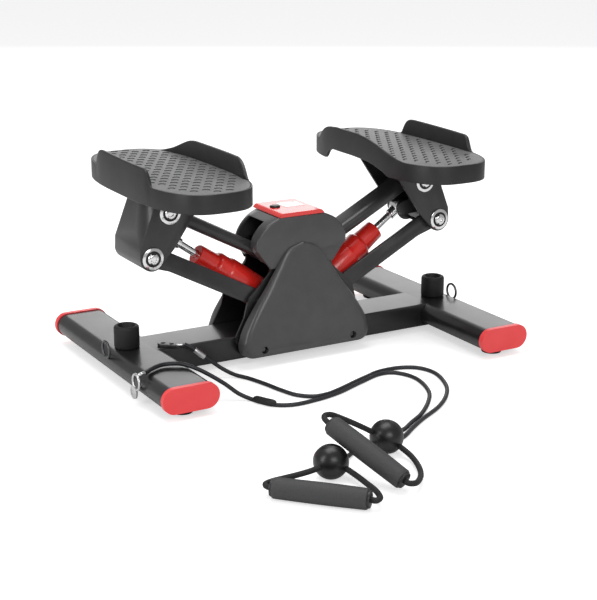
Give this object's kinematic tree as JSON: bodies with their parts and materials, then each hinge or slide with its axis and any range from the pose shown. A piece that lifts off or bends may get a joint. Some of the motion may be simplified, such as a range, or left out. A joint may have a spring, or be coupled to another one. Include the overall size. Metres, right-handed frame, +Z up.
{
  "type": "mini stepper",
  "caption": "Mini stepper for leg exercise: sprung pedals on parallel arms with hydraulic cylinders, low wide base, step counter and elastic pull bands.",
  "frame": {"origin": "on the floor, under the middle of the base's outline", "axes": "+X to the user's right, -Y towards the toes, +Z up"},
  "size_m": [0.506, 0.639, 0.266],
  "materials": {
    "frame_black": "semi-gloss black powder coat",
    "steel_black": "satin black paint",
    "plastic_grey": "satin dark grey",
    "plastic_black": "satin black",
    "tread_grey": "fine speckled texture",
    "cap_red": "satin red",
    "gloss_red": "gloss red paint",
    "panel_red": "gloss red",
    "rubber_black": "matte",
    "bright_steel": "bright plated",
    "screen_grey": "clear window over a grey screen",
    "cord_black": "smooth latex tube",
    "foam_grey": "closed-cell foam"
  },
  "bodies": {
    "frame": {"arm_pin_left": "bright_steel", "arm_pin_right": "bright_steel", "band_a_ball": "rubber_black", "band_a_cord": "cord_black", "band_a_handle": "foam_grey", "band_a_hook": "bright_steel", "band_b_ball": "rubber_black", "band_b_clip": "steel_black", "band_b_cord": "cord_black", "band_b_handle": "foam_grey", "centre_beam": "frame_black", "cover_screw_left": "steel_black", "cover_screw_right": "steel_black", "cylinder_pin_left": "bright_steel", "cylinder_pin_right": "bright_steel", "display_housing": "plastic_grey", "display_panel": "panel_red", "display_screen": "screen_grey", "end_cap_front_left": "cap_red", "end_cap_front_right": "cap_red", "end_cap_rear_left": "cap_red", "end_cap_rear_right": "cap_red", "eye_ring_left": "steel_black", "eye_ring_right": "steel_black", "floor_bar_left": "frame_black", "floor_bar_right": "frame_black", "foot_front_left": "rubber_black", "foot_front_right": "rubber_black", "foot_rear_left": "rubber_black", "foot_rear_right": "rubber_black", "front_cover": "plastic_grey", "link_pin_left": "bright_steel", "link_pin_right": "bright_steel", "rear_cover": "plastic_grey", "stop_bumper_left": "rubber_black", "stop_bumper_right": "rubber_black", "tower_plate_front": "frame_black", "tower_plate_rear": "frame_black"},
    "left_cylinder": {"cylinder_body_left": "gloss_red"},
    "right_cylinder": {"cylinder_body_right": "gloss_red"},
    "left_pedal": {"lower_bolt_left": "bright_steel", "pedal_bracket_left": "steel_black", "pedal_shell_left": "plastic_black", "pedal_tread_left": "tread_grey", "upper_bolt_left": "bright_steel"},
    "right_pedal": {"lower_bolt_right": "bright_steel", "pedal_bracket_right": "steel_black", "pedal_shell_right": "plastic_black", "pedal_tread_right": "tread_grey", "upper_bolt_right": "bright_steel"},
    "left_link": {"lower_link_left": "steel_black"},
    "right_link": {"lower_link_right": "steel_black"},
    "mode_button": {"mode_button": "rubber_black"},
    "left_rod": {"piston_rod_left": "bright_steel"},
    "right_rod": {"piston_rod_right": "bright_steel"},
    "left_arm": {"upper_arm_left": "steel_black"},
    "right_arm": {"upper_arm_right": "steel_black"}
  },
  "joints": [
    {"name": "right_arm_swing", "type": "hinge", "parent": "frame", "child": "right_arm", "pos_m": [0.032, 0, 0.127], "axis": [0, 1, 0], "range_deg": [0, 26], "stiffness_Nm_per_rad": 12, "springref_deg": -34.38},
    {"name": "right_link_swing", "type": "hinge", "parent": "frame", "child": "right_link", "pos_m": [0.0553, -0.0255, 0.0753], "axis": [0, 1, 0], "range_deg": [0, 26]},
    {"name": "right_pedal_level", "type": "hinge", "parent": "right_arm", "child": "right_pedal", "pos_m": [0.1778, 0, 0.2038], "axis": [0, -1, 0], "range_deg": [0, 26]},
    {"name": "right_cylinder_swing", "type": "hinge", "parent": "frame", "child": "right_cylinder", "pos_m": [0.031, 0, 0.0705], "axis": [0, 1, 0], "range_deg": [0, 26.7]},
    {"name": "right_rod_slide", "type": "slide", "parent": "right_cylinder", "child": "right_rod", "axis": [-0.8119, 0, -0.5838], "range_m": [0, 0.0103]},
    {"name": "left_arm_swing", "type": "hinge", "parent": "frame", "child": "left_arm", "pos_m": [-0.032, 0, 0.127], "axis": [0, -1, 0], "range_deg": [0, 26], "stiffness_Nm_per_rad": 12, "springref_deg": -34.38},
    {"name": "left_link_swing", "type": "hinge", "parent": "frame", "child": "left_link", "pos_m": [-0.0553, -0.0255, 0.0753], "axis": [0, -1, 0], "range_deg": [0, 26]},
    {"name": "left_pedal_level", "type": "hinge", "parent": "left_arm", "child": "left_pedal", "pos_m": [-0.1778, 0, 0.2038], "axis": [0, 1, 0], "range_deg": [0, 26]},
    {"name": "left_cylinder_swing", "type": "hinge", "parent": "frame", "child": "left_cylinder", "pos_m": [-0.031, 0, 0.0705], "axis": [0, -1, 0], "range_deg": [0, 26.7]},
    {"name": "left_rod_slide", "type": "slide", "parent": "left_cylinder", "child": "left_rod", "axis": [0.8119, 0, -0.5838], "range_m": [0, 0.0103]},
    {"name": "mode_button_press", "type": "slide", "parent": "frame", "child": "mode_button", "axis": [0, 0, -1], "range_m": [0, 0.0012], "stiffness_N_per_m": 400, "springref_m": -0.0006}
  ],
  "couplings": [
    {"joint": "right_link_swing", "follows": "right_arm_swing", "ratio": 1},
    {"joint": "right_pedal_level", "follows": "right_arm_swing", "ratio": 1},
    {"joint": "right_cylinder_swing", "follows": "right_arm_swing", "ratio": 1.0226},
    {"joint": "right_rod_slide", "follows": "right_arm_swing", "m_per_rad": 0.022285},
    {"joint": "left_link_swing", "follows": "left_arm_swing", "ratio": 1},
    {"joint": "left_pedal_level", "follows": "left_arm_swing", "ratio": 1},
    {"joint": "left_cylinder_swing", "follows": "left_arm_swing", "ratio": 1.0226},
    {"joint": "left_rod_slide", "follows": "left_arm_swing", "m_per_rad": 0.022285}
  ]
}
